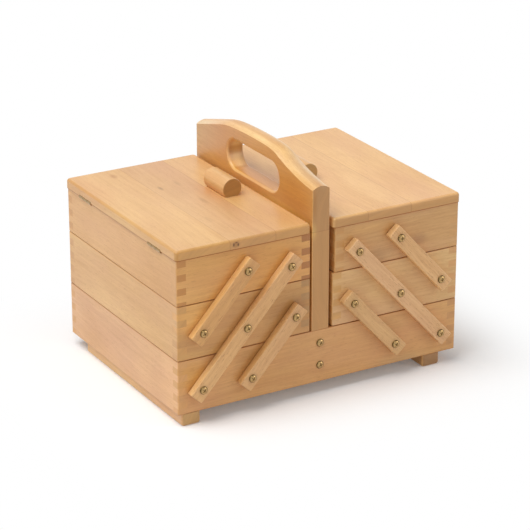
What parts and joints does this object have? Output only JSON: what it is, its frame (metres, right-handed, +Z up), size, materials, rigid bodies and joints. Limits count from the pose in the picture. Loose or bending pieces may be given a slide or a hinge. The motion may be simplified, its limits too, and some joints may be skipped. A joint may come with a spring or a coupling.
{
  "type": "cantilever sewing box",
  "caption": "Wooden cantilever sewing box: a base and stepped trays on parallel arms that fold out to each side of an upright handle board, with hinged lids.",
  "frame": {"origin": "on the ground under the middle of the box, at the underside of the runners", "axes": "+X along the width to the right seen from the front, -Y toward the front, +Z up"},
  "size_m": [0.3186, 0.2516, 0.2355],
  "materials": {
    "wood": "satin clear lacquer on planed pale hardwood",
    "plywood": "satin clear lacquer on thin plywood",
    "brass": "satin, brass plated"
  },
  "bodies": {
    "box": {"base_front_wall": "wood", "base_back_wall": "wood", "base_left_wall": "wood", "base_right_wall": "wood", "base_floor": "plywood", "left_runner": "wood", "right_runner": "wood", "handle_board": "wood", "handle_board_screws": "brass", "base_arm_screws": "brass"},
    "left_long_arms": {"left_long_arm_front": "wood", "left_long_arm_back": "wood"},
    "left_middle_tray": {"left_middle_tray_front_wall": "wood", "left_middle_tray_back_wall": "wood", "left_middle_tray_outer_wall": "wood", "left_middle_tray_inner_wall": "wood", "left_middle_tray_floor": "plywood", "left_middle_tray_arm_screws": "brass"},
    "left_top_tray": {"left_top_tray_front_wall": "wood", "left_top_tray_back_wall": "wood", "left_top_tray_outer_wall": "wood", "left_top_tray_inner_wall": "wood", "left_top_tray_floor": "plywood", "left_top_tray_arm_screws": "brass", "left_hinge_tray_leaves": "brass", "left_hinge_pins": "brass"},
    "left_lower_arms": {"left_lower_arm_front": "wood", "left_lower_arm_back": "wood"},
    "left_upper_arms": {"left_upper_arm_front": "wood", "left_upper_arm_back": "wood"},
    "left_hinged_lid": {"left_lid": "wood", "left_lid_knob": "wood", "left_hinge_lid_leaves": "brass"},
    "right_long_arms": {"right_long_arm_front": "wood", "right_long_arm_back": "wood"},
    "right_middle_tray": {"right_middle_tray_front_wall": "wood", "right_middle_tray_back_wall": "wood", "right_middle_tray_outer_wall": "wood", "right_middle_tray_inner_wall": "wood", "right_middle_tray_floor": "plywood", "right_middle_tray_arm_screws": "brass"},
    "right_top_tray": {"right_top_tray_front_wall": "wood", "right_top_tray_back_wall": "wood", "right_top_tray_outer_wall": "wood", "right_top_tray_inner_wall": "wood", "right_top_tray_floor": "plywood", "right_top_tray_arm_screws": "brass", "right_hinge_tray_leaves": "brass", "right_hinge_pins": "brass"},
    "right_lower_arms": {"right_lower_arm_front": "wood", "right_lower_arm_back": "wood"},
    "right_upper_arms": {"right_upper_arm_front": "wood", "right_upper_arm_back": "wood"},
    "right_hinged_lid": {"right_lid": "wood", "right_lid_knob": "wood", "right_hinge_lid_leaves": "brass"}
  },
  "joints": [
    {"name": "left_fold", "type": "hinge", "parent": "box", "child": "left_long_arms", "pos_m": [-0.1346, 0, 0.0376], "axis": [0, -1, 0], "range_deg": [0, 84.58]},
    {"name": "left_middle_tray_pivot", "type": "hinge", "parent": "left_long_arms", "child": "left_middle_tray", "pos_m": [-0.0863, 0, 0.0907], "axis": [0, -1, 0], "range_deg": [-84.58, 0]},
    {"name": "left_top_tray_pivot", "type": "hinge", "parent": "left_long_arms", "child": "left_top_tray", "pos_m": [-0.038, 0, 0.1438], "axis": [0, -1, 0], "range_deg": [-84.58, 0]},
    {"name": "left_lower_arm_pivot", "type": "hinge", "parent": "box", "child": "left_lower_arms", "pos_m": [-0.0812, 0, 0.0376], "axis": [0, -1, 0], "range_deg": [0, 84.58]},
    {"name": "left_upper_arm_pivot", "type": "hinge", "parent": "left_middle_tray", "child": "left_upper_arms", "pos_m": [-0.1336, 0, 0.0958], "axis": [0, -1, 0], "range_deg": [0, 84.58]},
    {"name": "left_lid_hinge", "type": "hinge", "parent": "left_top_tray", "child": "left_hinged_lid", "pos_m": [-0.1577, 0, 0.17025], "axis": [0, -1, 0], "range_deg": [0, 105]},
    {"name": "right_fold", "type": "hinge", "parent": "box", "child": "right_long_arms", "pos_m": [0.1346, 0, 0.0376], "axis": [0, 1, 0], "range_deg": [0, 84.58]},
    {"name": "right_middle_tray_pivot", "type": "hinge", "parent": "right_long_arms", "child": "right_middle_tray", "pos_m": [0.0863, 0, 0.0907], "axis": [0, 1, 0], "range_deg": [-84.58, 0]},
    {"name": "right_top_tray_pivot", "type": "hinge", "parent": "right_long_arms", "child": "right_top_tray", "pos_m": [0.038, 0, 0.1438], "axis": [0, 1, 0], "range_deg": [-84.58, 0]},
    {"name": "right_lower_arm_pivot", "type": "hinge", "parent": "box", "child": "right_lower_arms", "pos_m": [0.0812, 0, 0.0376], "axis": [0, 1, 0], "range_deg": [0, 84.58]},
    {"name": "right_upper_arm_pivot", "type": "hinge", "parent": "right_middle_tray", "child": "right_upper_arms", "pos_m": [0.1336, 0, 0.0958], "axis": [0, 1, 0], "range_deg": [0, 84.58]},
    {"name": "right_lid_hinge", "type": "hinge", "parent": "right_top_tray", "child": "right_hinged_lid", "pos_m": [0.1577, 0, 0.17025], "axis": [0, 1, 0], "range_deg": [0, 105]}
  ],
  "couplings": [
    {"joint": "left_middle_tray_pivot", "follows": "left_fold", "ratio": -1},
    {"joint": "left_top_tray_pivot", "follows": "left_fold", "ratio": -1},
    {"joint": "left_lower_arm_pivot", "follows": "left_fold", "ratio": 1},
    {"joint": "left_upper_arm_pivot", "follows": "left_fold", "ratio": 1},
    {"joint": "right_middle_tray_pivot", "follows": "right_fold", "ratio": -1},
    {"joint": "right_top_tray_pivot", "follows": "right_fold", "ratio": -1},
    {"joint": "right_lower_arm_pivot", "follows": "right_fold", "ratio": 1},
    {"joint": "right_upper_arm_pivot", "follows": "right_fold", "ratio": 1}
  ]
}
